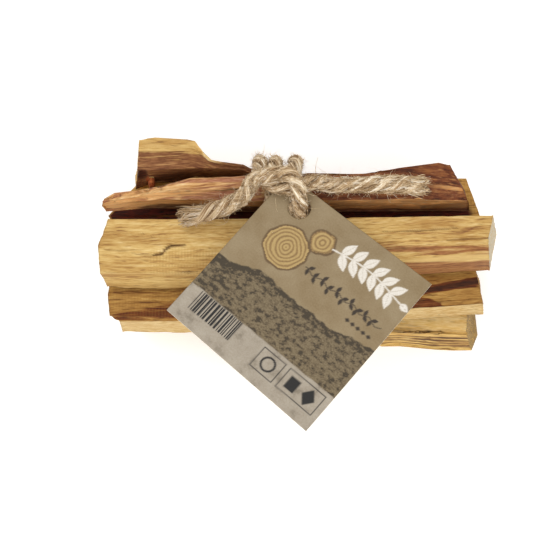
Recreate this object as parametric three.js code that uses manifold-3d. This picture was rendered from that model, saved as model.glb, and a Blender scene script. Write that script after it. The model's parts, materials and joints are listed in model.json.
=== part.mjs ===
// A tied bundle of palo santo: nine split sticks, a jute twine wound round them three times and knotted
// on top, and a square card hung on the twine. Millimetres, +Z up.
// The sticks run along X and the bundle lies on the sawn undersides of its three lowest sticks.
// +Y points from the front of the bundle, where the card reaches out, to its back.
import * as THREE from "three";
import { mergeVertices } from "three/addons/utils/BufferGeometryUtils.js";
import Module from "manifold-3d";

const wasm = await Module();
wasm.setup();

// Driving dimensions.
const clearance = 0.35; // kept between any two pieces
const tightRadius = 1.75; // of the twine in its turns
const looseRadius = 1.95; // in its knot
const tailRadius = 2.25; // and in its tails, where it has begun to come undone
const joinMargin = 0.1; // by which the balls that close the joins between its stretches are larger
const twineSides = 8; // of its cross-section
const twineStep = 1.6; // along its knot and tails
const lowestTop = 11.5; // top of the lowest layer of sticks
const archRise = 4.1; // how far the lowest sticks curve up over the twine
const archFlat = [-16, 7]; // the stretch along X where that rise is full
const archFeet = [-33, 26]; // where the undersides lie flat again
// The card's corners, from its middle. It is cut by hand, so it is a little out of square.
const cardCorners = [[-23.2, -23.7], [23.2, -24.8], [22.7, 24.7], [-23.5, 23.7]];
const cardThickness = 0.4;
const cardMiddle = [0.35, 2.9, 39.3]; // of the card's underside, which lies across the twine's turns
const cardTurn = THREE.MathUtils.degToRad(-40.5);
const cardLift = THREE.MathUtils.degToRad(-2.5); // its front corner stands up a little
const holeRadius = 2.9;
const holeCentre = [-15.6, 18.6]; // from the card's middle
const ringsPerStick = 20;
const linesPerFace = 3; // lengthwise lines on each split face
const grooveDepth = 0.45; // deepest the torn fibres cut into a split face

// Each stick is the ridges it split along, in order round the stick from its front lower edge, seen from its
// right end. A ridge is the points it runs through, from the left end to the right end.
const sticks = {
  // The broad pale stick on top, with a pointed left end and a slanting cut on its right.
  stick_broad: {
    colour: 0xc9a25c,
    ridges: [
      [[-49.2, 10.9, 21.7], [-45, 10.3, 21.7], [-30, 10.2, 21.7], [-24, 11.0, 21.7], [50.2, 15.1, 21.7]],
      [[-47.0, 24.4, 22.0], [0, 24.0, 22.4], [52.3, 25.0, 21.8]],
      [[-48.4, 26.0, 33], [0, 26.2, 33], [50.4, 27.0, 33]],
      [[-50.9, 18.9, 33.2], [48.9, 20.8, 33.2]],
      [[-50.3, 11.6, 32.4], [-28, 11.8, 32.5], [49.1, 15.5, 32.4]],
    ],
  },
  // The stick below it, with dark heartwood streaks and a pale front face.
  stick_streaked: {
    colour: 0xb07c3a,
    ridges: [
      [[-45.6, 1.0, 12], [-22, 0.6, 12], [49.3, 5.8, 12]],
      [[-46.8, 12.0, 12.2], [48.6, 14.8, 12.2]],
      [[-48.0, 16.2, 20.8], [46.0, 18.4, 20.6]],
      [[-49.1, 9.0, 21.1], [47.2, 13.0, 21.1]],
      [[-48.5, 3.2, 21.1], [-22, 3.4, 21.1], [48.3, 7.6, 21.1]],
      [[-45.9, 1.7, 20.4], [-22, 1.9, 20.4], [48.5, 6.5, 20.6]],
    ],
  },
  // The lowest stick at the front.
  stick_front_low: {
    colour: 0xba8f4a,
    arched: true,
    ridges: [
      [[-44, 5.4, 0], [-26, 4.3, 0], [22, -0.2, 0], [28, 0, 0], [40, -1.2, 0], [47.1, -1.1, 0]],
      [[-44.4, 10, 0], [48.8, 3.1, 0]],
      [[-45, 16.6, 0], [48.0, 12.6, 0]],
      [[-44, 14.6, 11.2], [45.4, 11.0, 11.3]],
      [[-43, 6.6, 11.3], [-26, 5.5, 11.3], [22, 1.2, 11.3], [45.0, 0.3, 11.3]],
    ],
  },
  // A rounded piece with the reddish bark still on it, narrow at the left.
  stick_bark: {
    colour: 0x8a4f2c,
    rings: 33,
    ridges: [
      [[-49.8, 30.8, 23], [-37, 31.8, 23], [-17, 30.6, 22.4], [8, 30.7, 22.2], [45.3, 31.0, 22.2]],
      [[-49.6, 32.6, 23], [-36, 34.4, 22.8], [-22, 36.4, 22.2], [28, 36.0, 22.2], [36, 38.6, 22.2],
        [44.2, 36.9, 22.4]],
      [[-50.0, 33.0, 27.6], [-47.2, 34.3, 28.6], [-42, 34.6, 29.6], [-35, 35.6, 31], [-28, 37.4, 32],
        [-12, 38.0, 32.4], [13, 38.4, 31.6], [26, 40.3, 32], [36.8, 41.7, 32], [39.6, 41.3, 31.2]],
      [[-50.3, 32.0, 28.2], [-35, 33.6, 31.6], [-12, 34.4, 33.6], [30, 36.0, 33.8], [42.9, 34.8, 31]],
      [[-50.6, 31.2, 26.4], [-35, 32.0, 29.6], [-12, 30.8, 31.6], [30, 31.4, 32], [44.5, 31.6, 29]],
    ],
  },
  // The piece at the back: a broad block at the left that broke off to a narrow blade. The twine has bitten
  // into the blade where it is wound round it.
  stick_ledge: {
    colour: 0x9b6a3c,
    rings: 33,
    ridges: [
      [[-42.2, 37.2, 21.4], [-38.7, 38.7, 21.4], [-27, 40.4, 21.4], [-21, 40.5, 21.3], [0, 37.4, 21.2],
        [27, 37.2, 21.2]],
      [[-42.4, 41.4, 20.9], [-27, 41.3, 21], [-21, 41, 21.2], [0, 38.4, 21.2], [27, 38.2, 21.2]],
      [[-42.6, 41.6, 12.2], [-27, 41.5, 12.8], [-21, 41.5, 21.2], [0, 39.6, 21.2], [27, 39.4, 21.2]],
      [[-42.4, 47.3, 12.2], [-27, 46.8, 12.8], [-21, 42.4, 21.2], [0, 41.2, 21.2], [26.6, 41.0, 21.2]],
      [[-41.0, 48.3, 30], [-37.6, 49.0, 30.2], [-26.6, 48.3, 30], [-24.4, 45.2, 30], [-23, 43.0, 30],
        [-19.9, 42.3, 30], [-12.6, 41.6, 29.4], [-11, 39.9, 29.1], [1.4, 39.3, 28], [3, 39.9, 27.9],
        [26, 39.8, 26.4]],
      [[-41.0, 44.0, 30.6], [-27, 44.4, 30.6], [-21, 41.6, 30.2], [-12.6, 40.9, 29.8], [-11, 39.3, 29.5],
        [1.4, 38.6, 28.2], [3, 39, 28.1], [26, 39.2, 26.8]],
      [[-41.4, 39.7, 30], [-29, 40.3, 30], [-20, 40.6, 29.4], [-12.6, 40.1, 29.2], [-11, 38.6, 29],
        [1.4, 37.9, 27.8], [3, 38.4, 27.7], [26, 38.7, 26.6]],
    ],
  },
  // The flat yellow stick that shows at both ends, under the bark piece.
  stick_yellow: {
    colour: 0xc79a45,
    ridges: [
      [[-47.0, 27.6, 12], [46.8, 27.0, 12]],
      [[-40.6, 38.4, 12], [45.8, 38.8, 12.2]],
      [[-41.3, 39.9, 20.4], [44.9, 40.8, 20.4]],
      [[-49.3, 30.4, 20.7], [48.0, 31.2, 20.7]],
      [[-48.6, 29.0, 20.3], [48.2, 29.2, 20.3]],
    ],
  },
  // Three more, which the others and the card hide from above.
  stick_core: {
    colour: 0xc39a55,
    ridges: [
      [[-44.5, 13.6, 12.4], [45.5, 16.4, 12.4]],
      [[-45.3, 26.2, 12], [44.7, 25.6, 12]],
      [[-46.0, 27.6, 20.8], [45.3, 27.8, 20.8]],
      [[-45.0, 17.8, 20.9], [46.2, 20.0, 20.8]],
    ],
  },
  stick_base: {
    colour: 0xb98a4a,
    arched: true,
    ridges: [
      [[-46.5, 18.0, 0], [45.8, 14.2, 0]],
      [[-46.0, 31.0, 0], [46.4, 29.6, 0]],
      [[-44.8, 28.2, 11.2], [45.6, 27.0, 11.3]],
      [[-45.6, 16.0, 11.3], [44.6, 12.6, 11.2]],
    ],
  },
  stick_base_rear: {
    colour: 0x8f5c34,
    arched: true,
    ridges: [
      [[-45.0, 32.6, 0], [45.0, 31.2, 0]],
      [[-41.6, 43.0, 0], [44.0, 41.8, 0]],
      [[-41.2, 45.4, 4.6], [0, 45.8, 5.0], [43.4, 44.4, 5.2]],
      [[-41.0, 43.6, 10.6], [43.2, 42.6, 10.4]],
      [[-44.2, 29.8, 11.3], [44.2, 28.6, 11.4]],
    ],
  },
};

// The chip of dark wood that stands out at the foot of the ledge.
const chip = { centre: [-37.8, 38.4, 24], size: [1.1, 1.6, 2.5] };

// Where the twine runs on top of the bundle: from its left tail up over the knot, down through the card's
// hole and round the bundle, then across the knot to its right tail.
const leftTail = [[-30.4, 25.5, 36], [-26, 26.0, 36.1], [-20.9, 27.3, 36.3], [-16, 29.3, 36.8],
  [-13.2, 31.0, 37.9]];
const archOver = [[-11.4, 33.6, 40.0], [-8.8, 34.3, 42.2], [-4.4, 34.6, 43.7], [-1.6, 34.0, 44.0],
  [0.1, 32.0, 43.3], [0.4, 29.4, 41.4]];
const throughHole = [[0.7, 27.3, 38.4], [0.9, 25.4, 36.3]];
const turns = [[0.8, -0.3], [-3.2, -5.6], [-7.2, -9.6]]; // X of each, down the front and up the back
// The bundle's corners that each turn is pulled round, Y and Z: over the front, under, and up the back.
const turnCorners = [[19.6, 33.4], [12.4, 32.6], [2.6, 20.5], [1.0, 12.0], [1.4, 4.1], [42.6, 4.1],
  [45.8, 7.3], [40.4, 29.0], [38.2, 32.6], [35.0, 33.8]];
const backCorner = 8; // where a turn comes back onto the top
const crossUnder = [[-9.8, 36.8, 36.8], [-9.3, 35.2, 39.0], [-7.6, 33.4, 40.4], [-4.6, 32.3, 40.7],
  [-1.8, 31.9, 40.7], [0.8, 32.2, 40.8], [3.2, 33.4, 40.2], [5.4, 34.2, 38.4]];
const rightTail = [[8, 33.8, 37.0], [12.3, 33.9, 36.6], [19, 34.0, 36.6], [26.3, 34.0, 36.6],
  [33.8, 33.6, 36.5]];

// A closed mesh as a manifold-3d solid, and back.
function toSolid(geometry) {
  const bare = new THREE.BufferGeometry().setAttribute("position", geometry.getAttribute("position"));
  bare.setIndex(geometry.index);
  const merged = mergeVertices(bare, 1e-4);
  return new wasm.Manifold(
    new wasm.Mesh({
      numProp: 3,
      vertProperties: merged.attributes.position.array,
      triVerts: new Uint32Array(merged.index.array),
    }),
  );
}

function toGeometry(solid) {
  const { vertProperties, triVerts } = solid.getMesh();
  const geometry = new THREE.BufferGeometry();
  geometry.setAttribute("position", new THREE.BufferAttribute(vertProperties, 3));
  geometry.setIndex(new THREE.BufferAttribute(triVerts, 1));
  geometry.computeVertexNormals();
  return geometry;
}

// Rings of equal length, joined by faces and closed at both ends.
function skin(rings) {
  const size = rings[0].length;
  const points = rings.flat();
  const middle = (ring) => ring.reduce((sum, p) => sum.add(p), new THREE.Vector3()).divideScalar(size);
  points.push(middle(rings[0]), middle(rings[rings.length - 1]));
  const faces = [];
  const last = (rings.length - 1) * size;
  for (let k = 0; k < size; k++) {
    const next = (k + 1) % size;
    for (let start = 0; start < last; start += size) {
      faces.push(start + k, start + next, start + size + next);
      faces.push(start + k, start + size + next, start + size + k);
    }
    faces.push(points.length - 2, next, k, points.length - 1, last + k, last + next);
  }
  const geometry = new THREE.BufferGeometry().setFromPoints(points);
  geometry.setIndex(faces);
  geometry.computeVertexNormals();
  return geometry;
}

// Height of the lowest sticks' undersides: flat at both ends, and curved up where the twine passes.
function archAt(x) {
  const [riseLeft, riseRight] = archFlat;
  const [footLeft, footRight] = archFeet;
  const up = THREE.MathUtils.smoothstep(x, footLeft, riseLeft);
  const down = 1 - THREE.MathUtils.smoothstep(x, riseRight, footRight);
  return archRise * Math.min(up, down);
}

// A point on a ridge, at a share of the way from its left end to its right end.
function onRidge(ridge, share) {
  const x = THREE.MathUtils.lerp(ridge[0][0], ridge[ridge.length - 1][0], share);
  const after = Math.max(1, ridge.findIndex((p) => p[0] >= x - 1e-9));
  const [from, to] = [ridge[after - 1], ridge[after]];
  return new THREE.Vector3(...from).lerp(new THREE.Vector3(...to), (x - from[0]) / (to[0] - from[0]));
}

// How deep the torn grain is on one lengthwise line, from 0 to 1. It changes slowly along the stick.
function grain(line, seed, x) {
  return 0.5 + 0.25 * Math.sin(2.4 * line + seed + x / 8) + 0.25 * Math.sin(5.1 * line - 1.7 * seed + x / 21);
}

// One ring of a stick's surface: its ridges, and lines between them sunk into each split face.
function stickRing(stick, seed, share) {
  const corners = stick.ridges.map((ridge) => onRidge(ridge, share));
  const ring = [];
  corners.forEach((corner, face) => {
    const next = corners[(face + 1) % corners.length];
    const inward = new THREE.Vector3(0, corner.z - next.z, next.y - corner.y).normalize();
    const sawn = corner.z === 0 && next.z === 0;
    for (let k = 0; k < linesPerFace; k++) {
      const point = corner.clone().lerp(next, k / linesPerFace);
      const depth = sawn || k === 0 ? 0 : grooveDepth * grain(face * linesPerFace + k, seed, point.x);
      ring.push(point.addScaledVector(inward, depth));
    }
  });
  if (stick.arched) {
    ring.forEach((p) => {
      p.z += archAt(p.x) * (1 - p.z / lowestTop);
    });
  }
  return ring;
}

function stickRings(stick, seed) {
  const count = stick.rings ?? ringsPerStick;
  return Array.from({ length: count }, (_, i) => stickRing(stick, seed, i / (count - 1)));
}

// The loop that a turn makes in the Y-Z plane: clear of the corners, and rounded at each.
function turnLoop() {
  const distance = tightRadius + clearance;
  const roundStep = THREE.MathUtils.degToRad(24);
  const corners = turnCorners.map((corner) => new THREE.Vector2(...corner));
  return corners.flatMap((corner, number) => {
    const incoming = corner.clone().sub(corners.at(number - 1)).angle();
    const outgoing = corners[(number + 1) % corners.length].clone().sub(corner).angle();
    const turn = (outgoing - incoming + 2 * Math.PI) % (2 * Math.PI);
    const steps = Math.max(1, Math.ceil(turn / roundStep));
    return Array.from({ length: steps + 1 }, (_, k) => {
      const angle = incoming - Math.PI / 2 + (turn * k) / steps;
      const outward = new THREE.Vector2(Math.cos(angle), Math.sin(angle));
      return { point: outward.multiplyScalar(distance).add(corner), number };
    });
  });
}

// All the turns as one run of points. Each shifts along X towards the back, and on top towards the next.
function woundPoints() {
  const loop = turnLoop();
  const reached = [0];
  loop.forEach(({ point }, i) => {
    const next = loop[(i + 1) % loop.length].point;
    reached.push(reached[i] + point.distanceTo(next));
  });
  const back = loop.findIndex(({ number }) => number === backCorner);
  return turns.flatMap(([atFront, atBack], turn) => {
    const nextFront = turns[turn + 1]?.[0];
    const kept = nextFront === undefined ? loop.slice(0, back + 1) : loop;
    return kept.map(({ point }, i) => {
      const onTop = i > back;
      const x = onTop
        ? THREE.MathUtils.mapLinear(reached[i], reached[back], reached.at(-1), atBack, nextFront)
        : THREE.MathUtils.mapLinear(reached[i], 0, reached[back], atFront, atBack);
      return new THREE.Vector3(x, point.x, point.y);
    });
  });
}

// A curve whose even shares fall on its points, however far apart they lie.
class PointRoute extends THREE.Curve {
  constructor(points) {
    super();
    this.points = points;
  }
  getPointAt(share) {
    return this.points[Math.round(share * (this.points.length - 1))].clone();
  }
  getTangentAt(share) {
    const here = Math.round(share * (this.points.length - 1));
    const next = this.points[Math.min(here + 1, this.points.length - 1)];
    return next.clone().sub(this.points[Math.max(here - 1, 0)]).normalize();
  }
}

function tube(route, radius, steps) {
  const section = new THREE.Shape().absarc(0, 0, radius, 0, 2 * Math.PI);
  return new THREE.ExtrudeGeometry(section, { steps, extrudePath: route, curveSegments: twineSides / 2 });
}

// A stretch of the twine that isn't wound, smooth through points placed by hand.
function looseTube(points, radius) {
  const route = new THREE.CatmullRomCurve3(points.map((p) => new THREE.Vector3(...p)));
  return tube(route, radius, Math.ceil(route.getLength() / twineStep));
}

function joinBall(place, radius) {
  return new THREE.SphereGeometry(radius + joinMargin, twineSides, 6).translate(...place);
}

function twineSolid() {
  const wound = woundPoints();
  const intoTurns = [leftTail.at(-1), ...archOver, ...throughHole, wound[0].toArray()];
  const outOfTurns = [wound.at(-1).toArray(), ...crossUnder, rightTail[0]];
  const tails = [leftTail, rightTail].map((points) => looseTube(points, tailRadius));
  const knot = [intoTurns, outOfTurns].map((points) => looseTube(points, looseRadius));
  const wrap = tube(new PointRoute(wound), tightRadius, wound.length - 1);
  const tailJoins = [intoTurns[0], outOfTurns.at(-1)].map((place) => joinBall(place, tailRadius));
  const wrapJoins = [intoTurns.at(-1), outOfTurns[0]].map((place) => joinBall(place, looseRadius));
  const pieces = [...tails, ...knot, wrap, ...tailJoins, ...wrapJoins];
  return pieces.map(toSolid).reduce((all, piece) => all.add(piece));
}

function cardGeometry() {
  const outline = new THREE.Shape(cardCorners.map((corner) => new THREE.Vector2(...corner)));
  outline.holes.push(new THREE.Path().absarc(...holeCentre, holeRadius, 0, 2 * Math.PI, true));
  const solid = { depth: cardThickness, bevelEnabled: false, curveSegments: 12 };
  return new THREE.ExtrudeGeometry(outline, solid);
}

function named(name, geometry, color, roughness) {
  const mesh = new THREE.Mesh(geometry, new THREE.MeshStandardMaterial({ color, roughness, metalness: 0 }));
  mesh.name = name;
  return mesh;
}

const bundle = new THREE.Group();
Object.entries(sticks).forEach(([name, stick], number) => {
  let geometry = skin(stickRings(stick, 1.3 * number));
  if (name === "stick_ledge") {
    const lump = new THREE.SphereGeometry(1, 8, 6).scale(...chip.size).translate(...chip.centre);
    geometry = toGeometry(toSolid(geometry).add(toSolid(lump)));
  }
  bundle.add(named(name, geometry, stick.colour, 0.8));
});
bundle.add(named("twine", toGeometry(twineSolid()), 0xb59c74, 0.95));

const card = named("card", cardGeometry(), 0x9c8766, 0.7);
card.position.set(...cardMiddle);
card.rotation.set(cardLift, 0, cardTurn, "XYZ");
bundle.add(card);

// The origin is under the middle of the bundle, on the surface that it lies on.
const box = new THREE.Box3().setFromObject(bundle);
bundle.position.set(-(box.min.x + box.max.x) / 2, -(box.min.y + box.max.y) / 2, -box.min.z);
const part = new THREE.Group();
part.add(bundle);

export default part;
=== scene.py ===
# A bundle of split palo santo sticks, wound with jute twine and knotted on top, with a card on the twine.
# Metres, +X along the sticks, +Y to the back. Lengths in the dictionaries are millimetres, and places are
# on the part drawing's own axes, which fromDrawing moves to the part's.
import json
import math
import random
import bmesh
import bpy
from mathutils import Matrix, Vector, noise

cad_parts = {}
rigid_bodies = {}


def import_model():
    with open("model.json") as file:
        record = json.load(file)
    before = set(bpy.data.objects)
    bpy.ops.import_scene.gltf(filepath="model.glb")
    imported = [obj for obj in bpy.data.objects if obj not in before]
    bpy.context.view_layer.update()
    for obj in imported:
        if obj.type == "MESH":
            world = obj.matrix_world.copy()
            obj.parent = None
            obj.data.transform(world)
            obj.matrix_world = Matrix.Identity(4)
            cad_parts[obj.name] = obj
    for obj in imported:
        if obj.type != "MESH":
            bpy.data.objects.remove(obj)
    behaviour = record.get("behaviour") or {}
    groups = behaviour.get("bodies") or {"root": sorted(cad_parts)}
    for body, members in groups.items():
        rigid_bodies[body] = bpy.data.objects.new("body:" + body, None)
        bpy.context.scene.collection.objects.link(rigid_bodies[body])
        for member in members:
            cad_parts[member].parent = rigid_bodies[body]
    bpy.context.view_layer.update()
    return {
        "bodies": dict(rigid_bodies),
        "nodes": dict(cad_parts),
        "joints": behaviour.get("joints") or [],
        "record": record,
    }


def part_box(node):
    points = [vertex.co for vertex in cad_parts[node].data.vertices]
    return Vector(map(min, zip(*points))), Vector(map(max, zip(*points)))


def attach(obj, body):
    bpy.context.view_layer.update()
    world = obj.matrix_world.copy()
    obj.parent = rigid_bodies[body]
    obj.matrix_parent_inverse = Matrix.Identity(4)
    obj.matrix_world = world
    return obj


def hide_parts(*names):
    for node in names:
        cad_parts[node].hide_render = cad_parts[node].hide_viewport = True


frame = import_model()

mm = 0.001
yellowCorner = Vector((-49.3, 27.0, 12))  # the golden stick's lowest corner, on the drawing
drawingShift = Vector(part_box("stick_yellow")[0]) / mm - yellowCorner


def fromDrawing(point):
    return (Vector(point) + drawingShift) * mm


def toDrawing(point):
    return point / mm - drawingShift


def easeBetween(value, low, high):
    share = min(max((value - low) / (high - low), 0), 1)
    return share * share * (3 - 2 * share)


def alongLine(points, x):
    # where a line of points is at this x: every number after the first, blended
    if x <= points[0][0]:
        return points[0][1:]
    for start, end in zip(points, points[1:]):
        if x <= end[0]:
            share = (x - start[0]) / (end[0] - start[0])
            return [a + (b - a) * share for a, b in zip(start[1:], end[1:])]
    return points[-1][1:]


def fromHex(colour):
    channels = [int(colour[i:i + 2], 16) / 255 for i in (1, 3, 5)]
    return [c / 12.92 if c <= 0.04045 else ((c + 0.055) / 1.055) ** 2.4 for c in channels] + [1]


def setNode(tree, node, settings):
    # settings are the node's own properties, its ramp's steps, and a value or a socket for each input
    for name, value in settings.items():
        if name == "steps":
            ramp = node.color_ramp.elements
            while len(ramp) < len(value):
                ramp.new(1)
            for step, (place, colour) in zip(ramp, value):
                step.position = place
                step.color = fromHex(colour)
        elif isinstance(value, bpy.types.NodeSocket):
            tree.links.new(value, node.inputs[name])
        elif isinstance(name, str) and hasattr(node, name):
            setattr(node, name, value)
        else:
            node.inputs[name].default_value = value
    return node


def addNode(tree, kind, settings):
    return setNode(tree, tree.nodes.new(kind), settings)


def newMaterial(name):
    material = bpy.data.materials.new(name)
    material.use_nodes = True
    tree = material.node_tree
    return material, tree, tree.nodes["Principled BSDF"]


def attributeOf(tree, name, output="Fac"):
    return addNode(tree, "ShaderNodeAttribute", {"attribute_name": name}).outputs[output]


def noiseOf(tree, place, along, across, detail, roughness=0.55):
    # along and across are the noise's sizes in millimetres, by the place's X and by its other two
    scale = (1 / along, 1 / across, 1 / across)
    drawn = addNode(tree, "ShaderNodeMapping", {"Scale": scale, "Vector": place})
    return addNode(tree, "ShaderNodeTexNoise", {"Scale": 1, "Detail": detail, "Roughness": roughness,
                                                "Vector": drawn.outputs["Vector"]}).outputs["Fac"]


def calculate(tree, operation, *values):
    return addNode(tree, "ShaderNodeMath", {"operation": operation, **dict(enumerate(values))}).outputs[0]


def weighted(tree, *parts):
    # the sum of these values, each times its weight
    total = 0
    for value, weight in parts:
        total = calculate(tree, "MULTIPLY_ADD", value, weight, total)
    return total


def fadeOf(tree, value, low, high, least=0, most=1):
    return addNode(tree, "ShaderNodeMapRange", {0: value, 1: low, 2: high, 3: least, 4: most}).outputs[0]


def rampOf(tree, value, places, colours):
    steps = list(zip(places, colours))
    return addNode(tree, "ShaderNodeValToRGB", {"steps": steps, "Fac": value}).outputs["Color"]


def mixOf(tree, share, below, above, blend="MIX"):
    return addNode(tree, "ShaderNodeMix", {"data_type": "RGBA", "blend_type": blend, 0: share, 6: below,
                                           7: above}).outputs[2]


def bumpOf(tree, height, strength, deep):
    # deep is in millimetres
    return addNode(tree, "ShaderNodeBump", {"Strength": strength, "Distance": deep * mm,
                                            "Height": height}).outputs["Normal"]


def addObject(name, data):
    added = bpy.data.objects.new(name, data)
    bpy.context.scene.collection.objects.link(added)
    return added


def newPiece(name, bm, materials, nodeName, slot):
    mesh = bpy.data.meshes.new(name)
    bm.to_mesh(mesh)
    bm.free()
    for material in materials:
        mesh.materials.append(material)
    for polygon in mesh.polygons:
        polygon.use_smooth = True
    piece = addObject(name, mesh)
    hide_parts(nodeName)
    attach(piece, "root")
    print(f"{name}: {len(mesh.vertices)} vertices")


# Camera, looking down on the bundle from the front

cameraPlace = {"target": (-7.8, 14.1, 30), "elevation": 75, "distance": 550, "lens": 145.1}


def addCamera():
    tilt = math.radians(cameraPlace["elevation"])
    back = Vector((0, -math.cos(tilt), math.sin(tilt)))
    data = bpy.data.cameras.new("productCamera")
    data.sensor_width = 36
    data.lens = cameraPlace["lens"]
    camera = addObject("productCamera", data)
    camera.location = fromDrawing(Vector(cameraPlace["target"]) + back * cameraPlace["distance"])
    camera.rotation_euler = (-back).to_track_quat("-Z", "Y").to_euler()
    bpy.context.scene.camera = camera
    print("camera placed")


addCamera()

# Twine

twine = {
    "tight": 1.75, "loose": 1.95, "tail": 2.3,  # radii: round the sticks, in the knot, at the cut ends
    "clearance": 0.35,
    "leftTail": [(-30.4, 25.5, 36), (-26, 26.0, 36.1), (-20.9, 27.3, 36.3), (-16, 29.3, 36.8),
                 (-13.2, 31.0, 37.9)],
    "archOver": [(-11.4, 33.6, 40.0), (-8.8, 34.3, 42.2), (-4.4, 34.6, 43.7), (-1.6, 34.0, 44.0),
                 (0.1, 32.0, 43.3), (0.4, 29.4, 41.4)],
    "throughHole": [(0.7, 27.3, 38.4), (0.9, 25.4, 36.3)],
    "turns": [(0.8, -0.3), (-3.2, -5.6), (-7.2, -9.6)],  # X of each, down the front and up the back
    "corners": [(19.6, 33.4), (12.4, 32.6), (2.6, 20.5), (1.0, 12.0), (1.4, 4.1), (42.6, 4.1),
                (45.8, 7.3), (40.4, 29.0), (38.2, 32.6), (35.0, 33.8)],
    "backCorner": 8,
    "crossUnder": [(-9.8, 36.8, 36.8), (-9.3, 35.2, 39.0), (-7.6, 33.4, 40.4), (-4.6, 32.3, 40.7),
                   (-1.8, 31.9, 40.7), (0.8, 32.2, 40.8), (3.2, 33.4, 40.2), (5.4, 34.2, 38.4)],
    "rightTail": [(8, 33.8, 37.0), (12.3, 33.9, 36.6), (19, 34.0, 36.6), (26.3, 34.0, 36.6),
                  (33.8, 33.6, 36.5)],
    "curve": 0.4, "step": 0.7, "sides": 26,
    "pitch": 13.5,  # of the three plies round each other
    "fibrePitch": 21,  # of the fibres round each ply, the other way
    "brush": 4.0,  # length over which the cut ends open out
    "hair": 0.06,  # radius of a loose fibre of width 1
    "lowest": 0.2,  # no hair comes nearer to the table than this
    "tailFibres": 420, "tailWidths": (1.2, 1.6, 2.2, 2.8),
    "lying": 3600, "lyingWidths": (1.0, 1.5, 2.1),
    "fuzz": 5200, "fuzzWidths": (0.6, 0.8, 1.1),
}


def roundedTurn():
    # the loop of one turn in Y and Z, clear of the bundle's corners and rounded at each
    corners = [Vector(corner) for corner in twine["corners"]]
    distance = twine["tight"] + twine["clearance"]
    loop = []
    for number, corner in enumerate(corners):
        into = corner - corners[number - 1]
        outOf = corners[(number + 1) % len(corners)] - corner
        start = math.atan2(into.y, into.x) - math.pi / 2
        turn = (math.atan2(outOf.y, outOf.x) - math.atan2(into.y, into.x)) % (2 * math.pi)
        steps = max(1, math.ceil(turn / math.radians(24)))
        for k in range(steps + 1):
            angle = start + turn * k / steps
            loop.append((corner + distance * Vector((math.cos(angle), math.sin(angle))), number))
    return loop


def woundPoints():
    loop = roundedTurn()
    reached = [0]
    for i, (point, number) in enumerate(loop):
        reached.append(reached[i] + (loop[(i + 1) % len(loop)][0] - point).length)
    back = [number for point, number in loop].index(twine["backCorner"])
    points = []
    for turn, (atFront, atBack) in enumerate(twine["turns"]):
        last = turn == len(twine["turns"]) - 1
        for i, (point, number) in enumerate(loop[:back + 1] if last else loop):
            if i > back:
                share = (reached[i] - reached[back]) / (reached[-1] - reached[back])
                x = atBack + (twine["turns"][turn + 1][0] - atBack) * share
            else:
                x = atFront + (atBack - atFront) * reached[i] / reached[back]
            points.append((x, point.x, point.y))
    return points


def smoothThrough(points, spacing):
    # a centripetal curve through every point
    points = [Vector(point) for point in points]
    points = [2 * points[0] - points[1]] + points + [2 * points[-1] - points[-2]]
    curve = []
    for p0, p1, p2, p3 in zip(points, points[1:], points[2:], points[3:]):
        t1 = max((p1 - p0).length, 0.01) ** 0.5
        t2 = t1 + max((p2 - p1).length, 0.01) ** 0.5
        t3 = t2 + max((p3 - p2).length, 0.01) ** 0.5
        steps = max(1, math.ceil((p2 - p1).length / spacing))
        for k in range(steps):
            t = t1 + (t2 - t1) * k / steps
            a1 = p0.lerp(p1, t / t1)
            a2 = p1.lerp(p2, (t - t1) / (t2 - t1))
            a3 = p2.lerp(p3, (t - t2) / (t3 - t2))
            b1 = a1.lerp(a2, t / t2)
            b2 = a2.lerp(a3, (t - t1) / (t3 - t1))
            curve.append(b1.lerp(b2, (t - t1) / (t2 - t1)))
    curve.append(points[-2])
    return curve


def evenlySpaced(points, step):
    reached = [0]
    for start, end in zip(points, points[1:]):
        reached.append(reached[-1] + (end - start).length)
    count = round(reached[-1] / step)
    spaced, at = [], 0
    for i in range(count + 1):
        want = reached[-1] * i / count
        while at < len(points) - 2 and reached[at + 1] < want:
            at += 1
        share = (want - reached[at]) / max(reached[at + 1] - reached[at], 1e-9)
        spaced.append(points[at].lerp(points[at + 1], share))
    return spaced


def framesAlong(points):
    # direction, side and up at every point, turning no more than the line does
    frames, side = [], None
    for i, point in enumerate(points):
        ahead = (points[min(i + 1, len(points) - 1)] - points[max(i - 1, 0)]).normalized()
        side = ahead.orthogonal() if side is None else side - ahead * side.dot(ahead)
        side.normalize()
        frames.append((ahead, side.copy(), ahead.cross(side)))
    return frames


def rolledTube(bm, rings, sides, placeAt):
    # a flat grid rolled up: placeAt gives each point from its ring and its share of the way round
    made = bmesh.ops.create_grid(bm, x_segments=rings - 1, y_segments=sides, size=1)["verts"]
    for vertex in made:
        ring = round((vertex.co.x + 1) / 2 * (rings - 1))
        side = round((vertex.co.y + 1) / 2 * sides) % sides
        placeAt(vertex, ring, side / sides)
    bmesh.ops.remove_doubles(bm, verts=made, dist=0.004 * mm)


route = evenlySpaced(smoothThrough(twine["leftTail"] + twine["archOver"] + twine["throughHole"]
                                   + woundPoints() + twine["crossUnder"] + twine["rightTail"],
                                   twine["curve"]), twine["step"])
routeFrames = framesAlong(route)
fromEnd = [min(i, len(route) - 1 - i) * twine["step"] for i in range(len(route))]


def outwardOf(frame, angle):
    ahead, side, up = frame
    return math.cos(angle) * side + math.sin(angle) * up


def openness(i):
    # how far the plies have come apart at this point of the route, from 0 to 1 at the cut ends
    return 1 - easeBetween(fromEnd[i], 0, twine["brush"])


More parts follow.
